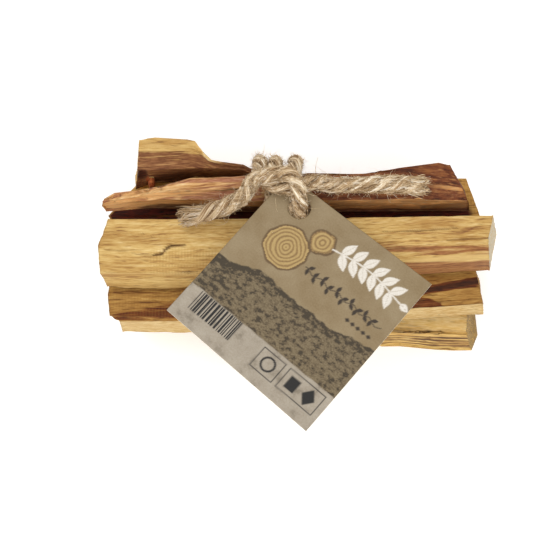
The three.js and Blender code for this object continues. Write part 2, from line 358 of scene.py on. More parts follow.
def plyAt(ply, i):
    # a ply's middle, radius and the angle of its own fibres
    along = i * twine["step"]
    radius = twine["tight"] + (twine["loose"] - twine["tight"]) * easeBetween(route[i].z, 32, 37)
    radius += (twine["tail"] - twine["loose"]) * (1 - easeBetween(fromEnd[i], 9, 20))
    radius *= 1 + 0.07 * noise.noise(Vector((along / 6, ply * 7.3, 0)))
    angle = -2 * math.pi * (along / twine["pitch"] + ply / 3)
    angle += 0.45 * noise.noise(Vector((along / 6, 3.1, ply)))
    middle = route[i] + 0.53 * radius * (1 + 0.12 * openness(i)) * outwardOf(routeFrames[i], angle)
    thick = 0.48 * radius * (1 - 0.7 * openness(i))
    return middle, thick, 2 * math.pi * along / twine["fibrePitch"]


def twinePlies():
    bm = bmesh.new()
    strand = bm.verts.layers.float_vector.new("strand")
    groove = bm.verts.layers.float.new("groove")
    for ply in range(3):
        middles = [plyAt(ply, i) for i in range(len(route))]
        frames = framesAlong([middle for middle, thick, turned in middles])

        def place(vertex, ring, share):
            middle, thick, turned = middles[ring]
            outward = outwardOf(frames[ring], 2 * math.pi * share)
            angle = 2 * math.pi * share + turned
            along = ring * twine["step"]
            # the fibres lie in small bundles, so the section is ribbed, and the ribs turn along the ply
            rib = 0.4 * math.sin(7 * angle + ply)
            rib += 2.1 * noise.noise(Vector((3.4 * math.cos(angle), 3.4 * math.sin(angle),
                                             along / 4 + 9 * ply)))
            closed = 0.25 if ring in (0, len(route) - 1) else 1
            vertex.co = fromDrawing(middle + outward * thick * closed * (1 + 0.085 * rib))
            vertex[strand] = (along, thick * math.cos(angle) + 5 * ply, thick * math.sin(angle))
            # painted shade between the plies, where they press together, and darker towards the left tail
            fromAxis = (middle + outward * thick - route[ring]).length / twine["loose"]
            vertex[groove] = easeBetween(fromAxis, 0.48, 0.92) * (0.7 + 0.3 * easeBetween(along, 6, 22))

        rolledTube(bm, len(route), twine["sides"], place)
    bmesh.ops.holes_fill(bm, edges=[edge for edge in bm.edges if edge.is_boundary], sides=0)
    bmesh.ops.recalc_face_normals(bm, faces=bm.faces)
    return bm


def juteFinish(name, tones, lines):
    # Jute, spun and laid up in three plies: dull and straw-coloured, with painted shade deep in the lay.
    # The real fibres are about 0.06 mm thick, and lines, in millimetres, is how they are drawn to show.
    material, tree, shader = newMaterial(name)
    strand = attributeOf(tree, "strand", "Vector")
    fibres = noiseOf(tree, strand, 6, lines, 3, 0.6)
    batches = noiseOf(tree, strand, 16, 1.1, 2, 0.5)
    tone = weighted(tree, (fibres, 0.55), (batches, 0.45))
    straw = rampOf(tree, tone, (0.37, 0.46, 0.54, 0.63), tones["straw"])
    # deep is the painted shade between the plies
    deep = rampOf(tree, fibres, (0.25, 0.75), (tones["deep"], tones["straw"][1]))
    setNode(tree, shader, {"Base Color": mixOf(tree, attributeOf(tree, "groove"), deep, straw),
                           "Normal": bumpOf(tree, fibres, 0.7, 0.12),
                           "Roughness": 0.88, "Specular IOR Level": 0.3})
    return material


# deep: the colour of the painted shade between the plies
juteTones = {"straw": ["#6C4E30", "#B0906A", "#DEC6A0", "#FCF2DE"], "deep": "#4A3119"}
newPiece("jute_twine", twinePlies(), [juteFinish("juteThreePly", juteTones, 0.3)], "twine", "jute")


def wander(rng, start, heading, length, curl, steps):
    points = [start.copy()]
    for k in range(steps):
        stray = Vector((rng.gauss(0, 1), rng.gauss(0, 1), rng.gauss(0, 0.8)))
        heading = (heading + curl * stray).normalized()
        points.append(points[-1] + heading * length / steps)
    return points


def somewhere(rng, margin):
    # a step along the route: more often near the ends, where the knot and the tails are
    place = rng.random() ** 1.7 / 2
    place = place if rng.random() < 0.5 else 1 - place
    return margin + int(place * (len(route) - 2 * margin))


def brushHairs(rng):
    # a blunt brush at each cut end, with a few fibres that reach past it
    for end, inward in ((0, 1), (len(route) - 1, -1)):
        for number in range(twine["tailFibres"]):
            i = end + inward * rng.randint(2, 9)
            out = outwardOf(routeFrames[i], rng.uniform(0, 2 * math.pi))
            spread = rng.uniform(0.02, 1.0) ** 0.5
            start = route[i] + out * twine["tail"] * 0.95 * spread
            heading = -inward * routeFrames[i][0] + out * 0.16 * spread * rng.uniform(0.2, 1.3)
            past = rng.gauss(-1.7, 0.4) if number % 14 else rng.uniform(-1.2, 0.8)
            length = max(fromEnd[i] + past, 0.6)
            yield (wander(rng, start, heading.normalized(), length, 0.07, 4),
                   rng.choice(twine["tailWidths"]))


def lyingHairs(rng):
    # each lies along a ply for a few millimetres, or across the plies, and its tip lifts off
    for number in range(twine["lying"]):
        ply, i = rng.randrange(3), somewhere(rng, 14)
        angle, drift = rng.uniform(0, 2 * math.pi), rng.gauss(0, 0.35)
        stride = rng.choice((1, 2, 3, 4))
        points = []
        for k in range(4):
            at = i + k * stride
            middle, thick, turned = plyAt(ply, at)
            if number % 5 < 2:
                middle, thick = route[at], thick * 1.9
            out = outwardOf(routeFrames[at], angle - turned * 0.5 + drift * k)
            points.append(middle + out * (thick * 1.02 + 0.16 * k * rng.random()))
        yield (points if rng.random() < 0.5 else points[::-1]), rng.choice(twine["lyingWidths"])


def fuzzHairs(rng):
    # loose ends that stand off the twine, short ones nearly everywhere
    for number in range(twine["fuzz"]):
        i = somewhere(rng, 6)
        out = outwardOf(routeFrames[i], rng.uniform(0, 2 * math.pi))
        start = route[i] + out * twine["loose"] * 0.85
        short = start.z < 34 or fromEnd[i] < 8 or rng.random() < 0.92
        heading = rng.choice((-1, 1)) * routeFrames[i][0] * rng.uniform(0.3, 1.2)
        heading += out * rng.uniform(0.25, 1.0)
        length = rng.uniform(0.8, 2.2) if short else rng.uniform(2.5, 6.5)
        yield (wander(rng, start, heading.normalized(), length, 0.5, 3 if short else 6),
               rng.choice(twine["fuzzWidths"]))


def hairPiece(*kinds):
    # fibres as thin tapered tubes
    rng = random.Random(17)
    data = bpy.data.curves.new("hairs", "CURVE")
    data.dimensions = "3D"
    data.bevel_depth = twine["hair"] * mm
    data.bevel_resolution = 0
    data.use_fill_caps = True
    for kind in kinds:
        for points, width in kind(rng):
            spline = data.splines.new("POLY")
            spline.points.add(len(points) - 1)
            for k, (target, point) in enumerate(zip(spline.points, points)):
                target.co = (*fromDrawing((point.x, point.y, max(point.z, twine["lowest"]))), 1)
                target.radius = width * (1 - 0.65 * k / (len(points) - 1))
    curve = addObject("hairCurves", data)
    bpy.context.view_layer.update()
    mesh = bpy.data.meshes.new_from_object(curve.evaluated_get(bpy.context.evaluated_depsgraph_get()))
    bpy.data.objects.remove(curve)
    bm = bmesh.new()
    bm.from_mesh(mesh)
    strand = bm.verts.layers.float_vector.new("strand")
    groove = bm.verts.layers.float.new("groove")
    for vertex in bm.verts:
        vertex[strand] = vertex.co / mm
        # fibres near the left tail's cut end are drawn darker
        nearLeftEnd = 1 - easeBetween((toDrawing(vertex.co) - route[0]).length, 7, 16)
        vertex[groove] = 0.9 - 0.45 * nearLeftEnd
    return bm


hairTones = {"straw": ["#765838", "#B99A72", "#E6D0AC", "#FFF6E6"], "deep": "#8A6E4B"}
looseFibre = juteFinish("juteLooseFibre", hairTones, 0.5)
newPiece("jute_fibres", hairPiece(brushHairs, lyingHairs), [looseFibre], "twine", "jute")
newPiece("jute_fuzz", hairPiece(fuzzHairs), [looseFibre], "twine", "jute")

# Sticks

# Every stick is split along the grain, so one set of lines runs through its relief and its colours. The
# lines follow the stick's middle line and wander a little, as grain does.
# A mark is a kind, a line of (x, y, z, half width) and a strength. It reaches further down than across.
palo = {
    "slot": "pale_wood", "cuts": 8, "pith": (0, -46, -14), "hasBark": False,
    "weld": 0.02, "ridgeAngle": 26, "joinAngle": 40,  # of the drawing's mesh, before it is subdivided
    "swell": 0.12, "fibre": 0.05, "tear": 0.09, "chip": 0.5, "rough": 0.14,  # depths of the relief
    "heartAt": [(-50, 0), (50, 0)],  # share of heartwood along the stick
    "spread": 1.5,  # of the tones: a larger value makes the grain quieter
    "line": "#A07840", "mid": "#C69F5C", "light": "#D8B875", "pale": "#E9D09A",
    "heart": ["#55301A", "#855436", "#AC8058"], "dark": "#3A1E0C", "torn": "#EBD5A2", "stain": "#8E8768",
    "bark": ["#4A2414", "#884A2C", "#AE6C42"],
    "marks": [],
}


def paleSawnEnd(place, normal, amounts):
    # the sawn end has bleached to a pale grey
    amounts["stain"] = max(amounts["stain"], 0.85 * easeBetween(normal.x, 0.6, 0.85))


def paleFrontFace(place, normal, amounts):
    # sapwood along the front, cut clean along the stick's front edge
    edge = alongLine([(-45.9, 1.7), (-22, 1.9), (48.5, 6.5)], place.x)[0]
    front = easeBetween(edge + 0.35 - place.y, 0, 0.3)
    amounts["torn"] = max(amounts["torn"], 0.9 * front)
    amounts["heart"] *= 1 - front


def redFrontFace(place, normal, amounts):
    # nothing but heartwood in front, with painted shade low down, where the face sits deep in the gap behind
    # the bark stick
    front = easeBetween(-normal.y, 0.35, 0.7)
    amounts["heart"] = max(amounts["heart"], 1.2 * front)
    amounts["torn"] *= 1 - front
    amounts["dark"] = max(amounts["dark"], 0.35 * front * easeBetween(25 - place.z, 0, 2))


def paintedShadeOnTop(place, normal, amounts):
    # painted shade on the top faces deep in the gap between the broad stick and the bark stick, kept to the
    # faces that look up
    amounts["dark"] *= easeBetween(normal.z, 0.4, 0.7)


def brownRightEnd(place, normal, amounts):
    # rough, weathered end
    amounts["stain"] = max(amounts["stain"], 0.9 * easeBetween(normal.x, 0.4, 0.7))


def barkOnRight(place, normal, amounts):
    amounts["bark"] = max(amounts["bark"], easeBetween(place.x + 2 * noise.noise(place / 4), -2, 3)
                          * easeBetween(place.z, 21.5, 23.5))
    # painted shadow on the lower part of its front, where the broad stick in front shades it; above that,
    # bark has come off in flakes, and the torn wood there is drawn paler than it is, as painted light on a
    # face that gets little light
    stainAndShadow = alongLine([(-48, 22.4), (-42, 23.6), (-35, 25.6), (-25, 26.8), (-6, 27), (6, 23.4)], place.x)[0]
    amounts["dark"] = max(amounts["dark"], 0.75 * easeBetween(stainAndShadow - place.z, 0, 1.4))
    front = easeBetween(-normal.y, 0.55, 0.85) * easeBetween(place.z, 23, 25)
    flaked = noise.fractal(Vector((place.x / 4.5, place.y / 1.3, place.z / 1.4)), 0.8, 2.1, 3)
    shown = 0.6 + 0.4 * easeBetween(flaked, -0.05, 0.45) if place.x > 4 else 0.5
    amounts["torn"] = max(amounts["torn"], front * shown)


def barkOnBack(place, normal, amounts):
    behind = easeBetween(normal.y, 0.3, 0.6) * easeBetween(1 - abs(normal.x), 0.3, 0.5)
    amounts["bark"] = max(amounts["bark"], behind)


broadStick = {
    **palo, "node": "stick_broad", "piece": "palo_broad", "finish": "paloSantoPale", "seed": 3,
    "middle": [(-50, 18.5), (0, 19.4), (50, 21.2)], "faces": paleSawnEnd, "stain": "#C4BEAB",
    "heartAt": [(-50, 0), (-20, 0.04), (15, 0.1), (30, 0.16), (50, 0.18)],
    "heart": ["#74482A", "#A87446", "#C09260"], "torn": "#CDA96C", "dark": "#6A3E12", "spread": 1.15,
    "marks": [
        ("heart", [(16, 18.4, 33, 0.6), (25, 18.3, 33, 1.2), (38, 17.7, 33, 1.4), (50, 17.9, 33, 1.3)], 0.66),
        ("dark", [(22, 18.2, 33, 0.3), (26, 18.2, 33, 0.5), (33, 18.4, 33, 0.2)], 0.4),
        ("heart", [(22, 13.4, 26, 2.6), (34, 14.0, 26, 2.6), (50, 14.8, 26, 2.6)], 0.9),
        ("torn", [(27, 14.7, 33, 0.3), (31, 14.9, 33, 0.7), (38, 15.4, 33, 1.0), (50, 16.1, 33, 1.15)], 0.9),
        ("crack", [(-37, 16.4, 33, 0.2), (-34.4, 16.8, 33, 0.42), (-33.6, 17.9, 33, 0.5),
                   (-32.2, 18.8, 33, 0.42), (-28.4, 19, 33, 0.2)], 0.85),
        ("step", [(-42, 16.9, 33, 0.12), (-38.5, 16.4, 33, 0.2), (-36, 16.4, 33, 0.2)], 0.6),
        ("step", [(-44.5, 13.1, 33, 0.1), (-41, 13.2, 33, 0.25), (-37, 13.1, 33, 0.1)], 0.6),
        ("step", [(-49, 17.8, 33, 0.2), (-45, 17.5, 33, 0.25), (-41, 17.7, 33, 0.1)], 0.6),
        ("crack", [(22, 22.6, 33, 0.1), (31, 22.9, 33, 0.22), (41, 23.6, 33, 0.1)], 0.5),
        ("crack", [(38, 20.2, 33, 0.1), (43, 20.6, 33, 0.3), (49, 20.7, 33, 0.12)], 0.5),
        ("crack", [(-29.2, 11.8, 32.6, 0.3), (-27.6, 11.6, 32.4, 0.75), (-26, 11.8, 32.4, 0.3)], 0.9),
        ("saw", [(-35, 14.4, 33, 3.6), (-22, 14.4, 33, 3.8)], 1),
    ],
}

streakedStick = {
    **palo, "node": "stick_streaked", "piece": "palo_streaked", "finish": "paloSantoStreaked",
    "slot": "streaked_wood", "seed": 8, "middle": [(-50, 5.5), (0, 6.8), (50, 9.6)], "pith": (0, -30, -25),
    "faces": paleFrontFace, "spread": 1.2,
    "heartAt": [(-50, 0.16), (-20, 0.3), (20, 0.35), (34, 0.2), (50, 0.12)],
    "line": "#74501F", "mid": "#9E7438", "light": "#B88E4A", "pale": "#D2B06A",
    "heart": ["#401804", "#6E3812", "#925A28"], "dark": "#3E1804", "torn": "#DCC28C",
    "marks": [
        ("heart", [(-47.5, 3.0, 21, 0.9), (-42, 3.5, 21, 1.5), (-36, 4.3, 21, 2.3), (-28, 5.0, 21, 2.9),
                   (-18, 5.2, 21, 3.0)], 0.7),
        ("heart", [(-47, 9.8, 21, 0.9), (-40, 9.4, 21, 0.6), (-33, 9.4, 21, 0.2)], 0.36),
        ("dark", [(29, 9.3, 21, 0.5), (34, 10.2, 21, 0.7), (42, 11.6, 21, 0.8), (48, 12.8, 21, 0.9)], 0.8),
        ("heart", [(26, 9.2, 21, 1.2), (34, 10.2, 21, 1.3), (42, 11.7, 21, 1.3), (49, 12.9, 21, 1.5)], 0.95),
        ("heart", [(26, 7.2, 21, 2.3), (31, 7.0, 21, 2.3), (34.5, 6.5, 21, 1.7), (38, 6.0, 21, 0.4)], 0.8),
        ("saw", [(-49, 7, 21, 5), (-28, 7, 21, 5)], 0.5),
    ],
}

lowFrontStick = {
    **palo, "node": "stick_front_low", "piece": "palo_low_front", "finish": "paloSantoRough", "seed": 12,
    "middle": [(-45, 10.5), (0, 9.2), (47, 5.5)], "pith": (0, -20, 34), "faces": brownRightEnd,
    "swell": 0.3, "fibre": 0.08, "tear": 0.2, "chip": 0.9, "rough": 0.5, "spread": 1.15,
    "heartAt": [(-50, 0.1), (50, 0.1)], "stain": "#8E744A",
    "line": "#9C7438", "mid": "#CBA258", "light": "#E2BE72", "pale": "#F0D592",
    "heart": ["#4E3018", "#7A5633", "#9C7850"],
    "marks": [
        ("crack", [(21, 0.9, 11, 0.3), (25.8, 1.0, 11, 0.5), (30.3, 1.4, 11, 0.4), (32.2, 1.0, 11, 0.5),
                   (34.8, 1.7, 11, 0.4), (36.6, 1.2, 11, 0.4), (38.2, 0.6, 11, 0.2)], 0.8),
        ("stain", [(24.5, 1.9, 11, 0.5), (27.5, 1.9, 11, 1.0), (30, 1.7, 11, 0.4)], 0.7),
        # painted light and shade: the paler band along its top stands for light, and the browner band low
        # down for shade
        ("torn", [(20, 4.4, 11.3, 2.2), (45, 3.6, 11.3, 2.2)], 0.5),
        ("heart", [(18, -0.6, 5, 2.2), (47, -1.0, 5, 2.2)], 0.52),
    ],
}

barkStick = {
    **palo, "node": "stick_bark", "piece": "palo_bark", "finish": "paloSantoBark", "slot": "bark_wood",
    "seed": 19, "middle": [(-50, 31.5), (-36, 33.3), (-22, 34.0), (-10, 34.4), (30, 35.6), (45, 34.6)],
    "pith": (0, 4, -26), "faces": barkOnRight, "hasBark": True, "swell": 0.2, "fibre": 0.08, "tear": 0.28,
    "chip": 0.5, "spread": 1.1, "heartAt": [(-50, 0.3), (-44, 0.2), (-36, 0.26), (-22, 0.36), (-8, 0.45)],
    "line": "#AA7642", "mid": "#D6A466", "light": "#EBC086", "pale": "#F8DEAE",
    "heart": ["#8A523C", "#B67C5C", "#D8AC8A"], "stain": "#80603A", "torn": "#F8B266",
    # its torn colour is paler than the torn wood, so it also serves as painted light on its shaded front
    "bark": ["#3E1C0A", "#743E20", "#A0683A"],
    "marks": [
        ("heart", [(-40, 31.6, 30, 0.3), (-30, 32.2, 31, 0.8), (-20, 32.4, 32, 1.2),
                   (-10, 33.2, 32.5, 1.3)], 0.7),
        ("heart", [(-38, 35.2, 30.5, 0.3), (-28, 36.6, 31.5, 0.8), (-12, 37.0, 32.5, 1.0)], 0.75),
        ("torn", [(9.5, 30.9, 27, 1.1), (13, 30.9, 27.5, 1.7), (17, 30.9, 27.5, 1.0)], 0.6),
        # painted shade low on its front at the right, in the gap behind the broad stick
        ("dark", [(33, 30.6, 24.5, 1.0), (39, 30.8, 25, 1.4), (45.5, 31, 25, 1.8)], 0.5),
        ("stain", [(33, 33.6, 32.6, 0.8), (38, 33.2, 32, 2.2), (43.5, 33.0, 31, 1.6)], 0.22),
        ("step", [(4, 38.8, 31.8, 0.3), (14, 39, 31.4, 0.45), (26, 39.4, 32, 0.3)], 0.8),
        ("crack", [(14, 33.8, 33.2, 0.1), (24, 34.4, 33.6, 0.35), (36, 34.9, 33, 0.15)], 0.6),
        ("crack", [(-33, 33.6, 31.6, 0.1), (-24, 34.1, 32.4, 0.3), (-13, 34.6, 33.4, 0.15)], 0.6),
    ],
}

ledgeStick = {
    **palo, "node": "stick_ledge", "piece": "palo_ledge", "finish": "paloSantoLedge", "slot": "streaked_wood",
    "seed": 27, "cuts": 5, "middle": [(-42, 44), (-27, 44), (-18, 41.6), (0, 40), (27, 39.6)],
    "pith": (0, 30, 12), "faces": redFrontFace, "hasBark": True, "spread": 1.25,
    "line": "#A67C40", "mid": "#CCA560", "light": "#DDBB78", "pale": "#ECD49A",
    "heart": ["#5C301A", "#865632", "#B08252"], "bark": ["#7A3614", "#AE5A2C", "#CC7842"], "torn": "#F0D8A4",
    # dark colours the hollow under the chip and the painted shade low on its front
    "dark": "#5E2A14",
    "marks": [
        ("heart", [(-42, 41.3, 30.3, 2.2), (-30, 41.3, 30.4, 2.2), (-22, 41.2, 30, 2.5), (0, 40.2, 28.5, 2.4),
                   (27, 40, 26.6, 2.2)], 1.1),
        ("heart", [(-42, 43.0, 30.3, 2.2), (-30, 43.0, 30.4, 2.2), (-24, 42.4, 30, 2.0)], 0.66),
        ("torn", [(-25.2, 46.6, 29.8, 0.5), (-24.2, 45.0, 29.8, 0.9), (-22.8, 43.2, 29.8, 0.9),
                  (-19.9, 42.5, 29.6, 0.5)], 0.9),
        ("bark", [(-38.4, 38.1, 25.2, 1.3), (-37.1, 38.1, 25.2, 1.3)], 1.3),
        ("crack", [(-41, 39.4, 27, 1.6), (-40.2, 39.4, 27, 1.6)], 1),
        # painted shade on the foot of its front, deep in the gap behind the bark stick
        ("dark", [(-36, 39.2, 22.5, 2.0), (-29, 39.8, 22.5, 2.0)], 0.7),
        ("saw", [(-40, 46.5, 30, 1.6), (-27, 46.5, 30, 1.4)], 0.4),
    ],
}

yellowStick = {
    **palo, "node": "stick_yellow", "piece": "palo_yellow", "finish": "paloSantoGolden", "seed": 33,
    "cuts": 6, "middle": [(-48, 34), (48, 34.6)], "pith": (0, 38, -20), "heartAt": [(-50, 0.1), (50, 0.1)],
    "faces": paintedShadeOnTop,
    # dark is painted shade: the mark below puts it on its top in the gap between the broad stick and the bark
    # stick
    "line": "#8E6026", "mid": "#BE8E44", "light": "#D4A85C", "pale": "#E2C07A", "dark": "#641C04",
    "marks": [("dark", [(-52, 30.4, 20.7, 3.2), (0, 30.8, 20.7, 3.2), (44, 30.6, 20.7, 2.4)], 1),
              ("saw", [(40, 35, 20.5, 6), (48, 35, 20.5, 6)], 1)],
}

coreStick = {
    **palo, "node": "stick_core", "piece": "palo_core", "finish": "paloSantoPlain", "seed": 41, "cuts": 5,
    "middle": [(-46, 22), (46, 23.4)], "pith": (0, -10, -40), "heartAt": [(-50, 0.2), (50, 0.2)],
    # dark is painted shade, which the mark below puts on its top in the gap between the broad stick and the
    # bark stick
    "faces": paintedShadeOnTop, "dark": "#641C04",
    "marks": [("dark", [(-52, 27.4, 20.8, 3), (43, 27.6, 20.8, 3)], 1)],
}

baseStick = {
    **palo, "node": "stick_base", "piece": "palo_base", "finish": "paloSantoBrown", "slot": "streaked_wood",
    "seed": 52, "cuts": 6, "middle": [(-46, 24), (46, 22)], "pith": (0, 26, 22),
    "heartAt": [(-50, 0.35), (0, 0.5), (50, 0.4)],
}

rearBaseStick = {
    **palo, "node": "stick_base_rear", "piece": "palo_rear_base", "finish": "paloSantoBarkBack",
    "slot": "bark_wood", "seed": 63, "cuts": 6, "middle": [(-46, 38.5), (46, 37)], "pith": (0, -24, 6),
    "hasBark": True, "faces": barkOnBack, "swell": 0.3, "tear": 0.2, "chip": 0.8,
    "heartAt": [(-50, 0.3), (50, 0.4)],
}


def markStrength(line, place):
    # 1 on the mark's line, 0 past its half width
    x, y, z = place
    beyond = max(line[0][0] - x, x - line[-1][0], 0)
    if beyond >= 3:
        return 0
    midY, midZ, half = alongLine(line, x)
    away = math.hypot(y - midY, (z - midZ) * 0.45, beyond)
    return 1 - easeBetween(away, half * 0.55, half * 1.25)


def grainAt(stick, place):
    x, y, z = place
    seed = stick["seed"]
    middle = alongLine(stick["middle"], x)[0]
    wanderY = 1.3 * noise.noise(Vector((x / 38, y / 11, z / 11 + seed)))
    wanderZ = 1.3 * noise.noise(Vector((x / 38 + 40, y / 11 + seed, z / 11)))
    return Vector((x, y - middle + wanderY, z - 20 + wanderZ))


def reliefAt(stick, grain, ridge, capped):
    # depth cut away, in millimetres, and how much of it is a narrow tear
    seed = stick["seed"] * 5.7
    x, y, z = grain
    if capped > 0.5:
        rough = noise.fractal(Vector((seed, y / 1.3, z / 1.3)), 0.8, 2.1, 3)
        return stick["rough"] * (0.6 + rough) + 0.03 * math.sin(4.2 * z + y), 0
    # each noise is stretched along the grain, and what x, y and z are divided by is its size
    swell = 0.5 + 0.8 * noise.noise(Vector((x / 27 + seed, y / 6, z / 6)))
    fibre = 0.5 + 0.7 * noise.noise(Vector((x / 15, y / 0.85 + seed, z / 0.85)))
    strips = 2.6 * noise.noise(Vector((x / 25, y / 2.3, z / 2.3 - seed)))
    level = math.floor(strips) + easeBetween(strips - math.floor(strips), 0.78, 1)
    terraces = 0.35 * (2 - level)
    chip = max(0, noise.noise(Vector((x / 4.6, y / 3.5 + seed, z / 3.5))) - 0.02) * ridge * ridge
    split = noise.noise(Vector((x / 19 + seed, y / 1.5, z / 1.5 + seed)))
    tear = 1 - easeBetween(abs(split), 0, 0.03)
    tear *= easeBetween(noise.noise(Vector((x / 12, y / 5, seed))), 0.15, 0.4)
    depth = (stick["swell"] * swell + stick["fibre"] * fibre + stick["tear"] * terraces
             + stick["chip"] * chip + 0.25 * tear)
    return depth, tear


woodMarks = ("heart", "dark", "torn", "bark", "saw", "stain")
# a step is drawn darker along its line, as painted shadow under its small ledge
cutMarks = {"crack": (0.7, 1), "step": (0.35, 0.5)}  # how deep, and how dark


def splitStick(stick):
    bm = bmesh.new()
    bm.from_mesh(frame["nodes"][stick["node"]].data)
    bmesh.ops.remove_doubles(bm, verts=bm.verts, dist=stick["weld"] * mm)
    ridge = bm.verts.layers.float.new("ridge")
    for edge in bm.edges:
        if edge.calc_face_angle(0) > math.radians(stick["ridgeAngle"]):
            for vertex in edge.verts:
                vertex[ridge] = 1
    bmesh.ops.join_triangles(bm, faces=bm.faces, angle_face_threshold=math.radians(stick["joinAngle"]),
                             angle_shape_threshold=math.radians(70))
    bmesh.ops.subdivide_edges(bm, edges=bm.edges, cuts=stick["cuts"], use_grid_fill=True)
    bm.normal_update()
    layers = {kind: bm.verts.layers.float.new(kind) for kind in woodMarks}
    grainLayer = bm.verts.layers.float_vector.new("grain")
    moves = []
    for vertex in bm.verts:
        place = toDrawing(vertex.co)
        grain = grainAt(stick, place)
        capped = abs(vertex.normal.x)
        depth, tear = reliefAt(stick, grain, vertex[ridge], capped)
        amounts = dict.fromkeys(woodMarks, 0)
        amounts["heart"] = alongLine(stick["heartAt"], place.x)[0]
        amounts["dark"] = 0.4 * tear
        for kind, line, strength in stick["marks"]:
            strong = strength * markStrength(line, place)
            if kind in cutMarks:
                deep, dark = cutMarks[kind]
                amounts["dark"] = max(amounts["dark"], dark * strong)
                depth += deep * strong
            else:
                amounts[kind] = max(amounts[kind], strong)
        if "faces" in stick:
            stick["faces"](place, vertex.normal, amounts)
        vertex[grainLayer] = grain
        for kind, amount in amounts.items():
            vertex[layers[kind]] = amount
        # the sawn undersides stay flat, and the relief fades out towards them
        moves.append((vertex, vertex.normal * -max(depth, 0) * easeBetween(place.z, 0, 1.6) * mm))
    for vertex, move in moves:
        vertex.co += move
    bmesh.ops.recalc_face_normals(bm, faces=bm.faces)
    return bm


def splitWoodFinish(stick):
    # Palo santo, split along its grain and sawn to length: matt and golden, with brown resin lines where
    # the growth layers meet the face, wine-brown heartwood, and pale new wood where fibres tore
    material, tree, shader = newMaterial(stick["finish"])
    grain = attributeOf(tree, "grain", "Vector")
    amount = {kind: attributeOf(tree, kind) for kind in woodMarks}

    def ragged(value, uneven, strength):
        # the value, made larger where the noise is low
        return calculate(tree, "MULTIPLY_ADD", calculate(tree, "SUBTRACT", 0.5, uneven), strength, value)

    def layOver(below, share, value, places, colours, blend="MIX"):
        return mixOf(tree, share, below, rampOf(tree, value, places, colours), blend)

    # growth layers, about 1.5 mm apart, round a pith outside the stick
    fromPith = addNode(tree, "ShaderNodeVectorMath", {"operation": "SUBTRACT", 0: grain, 1: stick["pith"]})
    flat = addNode(tree, "ShaderNodeVectorMath",
                   {"operation": "MULTIPLY", 0: fromPith.outputs[0], 1: (0, 1, 1)})
    radius = addNode(tree, "ShaderNodeVectorMath", {"operation": "LENGTH", 0: flat.outputs[0]}).outputs[1]
    bent = calculate(tree, "MULTIPLY_ADD", noiseOf(tree, grain, 34, 5, 2), 5.0, radius)
    layer = addNode(tree, "ShaderNodeTexNoise", {"noise_dimensions": "1D", "Scale": 0.7, "Detail": 3,
                                                 "Roughness": 0.6, "W": bent}).outputs["Fac"]
    fibres = noiseOf(tree, grain, 8, 0.6, 3, 0.65)
    fine = noiseOf(tree, grain, 2.6, 0.34, 3, 0.6)
    patches = noiseOf(tree, grain, 24, 4, 3)
    tone = weighted(tree, (layer, 0.24), (fibres, 0.36), (fine, 0.40))
    places = [0.5 + (place - 0.5) * stick["spread"] for place in (0.36, 0.46, 0.54, 0.64)]
    colour = rampOf(tree, tone, places, [stick[name] for name in ("line", "mid", "light", "pale")])
    # heartwood ends along the layers, so its edge is streaky
    heartEdge = ragged(ragged(amount["heart"], fibres, 0.9), layer, 1.5)
    # heartwood; on the low front stick's lower part the same colours are painted shade
    colour = layOver(colour, fadeOf(tree, heartEdge, 0.3, 0.62), tone, (0.38, 0.5, 0.62), stick["heart"])
    stainEdge = ragged(amount["stain"], patches, -0.8)
    if stick["hasBark"]:
        flakes = noiseOf(tree, grain, 5.5, 1.0, 4, 0.65)
        barkEdge = ragged(amount["bark"], flakes, 1.2)
        barkTone = weighted(tree, (flakes, 0.6), (fibres, 0.4))
        colour = layOver(colour, fadeOf(tree, barkEdge, 0.4, 0.6), barkTone, (0.36, 0.5, 0.64), stick["bark"])
        stainEdge = ragged(amount["stain"], flakes, -2.4)
    colour = layOver(colour, 1, patches, (0.3, 0.5, 0.7), ("#D8C6B0", "#F4EFE8", "#FFFFFF"), "MULTIPLY")
    # the saw's teeth left lines across the grain, about 0.8 mm apart
    teeth = addNode(tree, "ShaderNodeTexWave", {"bands_direction": "X", "Scale": 0.4, "Distortion": 2.5,
                                                "Detail": 2, "Detail Scale": 0.6, "Vector": grain})
    sawn = calculate(tree, "MULTIPLY", calculate(tree, "MULTIPLY", teeth.outputs["Fac"], amount["saw"]), 0.4)
    colour = layOver(colour, sawn, fibres, (0.4, 0.6), (stick["line"], stick["mid"]))
    # short open pores along the grain, drawn about 0.5 mm wide to show
    pores = fadeOf(tree, noiseOf(tree, grain, 4.2, 0.55, 2, 0.6), 0.58, 0.7, 0, 0.75)
    colour = layOver(colour, pores, fine, (0.35, 0.55), (stick["heart"][0], stick["line"]))
    # torn wood, and on the bark stick's front and the low front stick's upper part also painted light
    colour = layOver(colour, amount["torn"], fine, (0.35, 0.6), (stick["light"], stick["torn"]))
    stainAndShadow = calculate(tree, "MULTIPLY", fadeOf(tree, stainEdge, 0.2, 0.7), amount["stain"])
    colour = layOver(colour, stainAndShadow, fine, (0.35, 0.5), (stick["mid"], stick["stain"]))
    # dark lines of tears and cracks, and painted shade in the gaps between sticks and along steps
    colour = layOver(colour, amount["dark"], fine, (0.3, 0.7), ("#1C0C05", stick["dark"]))
    height = weighted(tree, (fibres, 0.6), (fine, 0.4))
    setNode(tree, shader, {"Base Color": colour, "Normal": bumpOf(tree, height, 0.6, 0.1),
                           "Roughness": fadeOf(tree, fibres, 0, 1, 0.68, 0.86), "Specular IOR Level": 0.35})
    return material


for stick in (broadStick, streakedStick, lowFrontStick, barkStick, ledgeStick, yellowStick, coreStick,
              baseStick, rearBaseStick):
    newPiece(stick["piece"], splitStick(stick), [splitWoodFinish(stick)], stick["node"], stick["slot"])

# Card

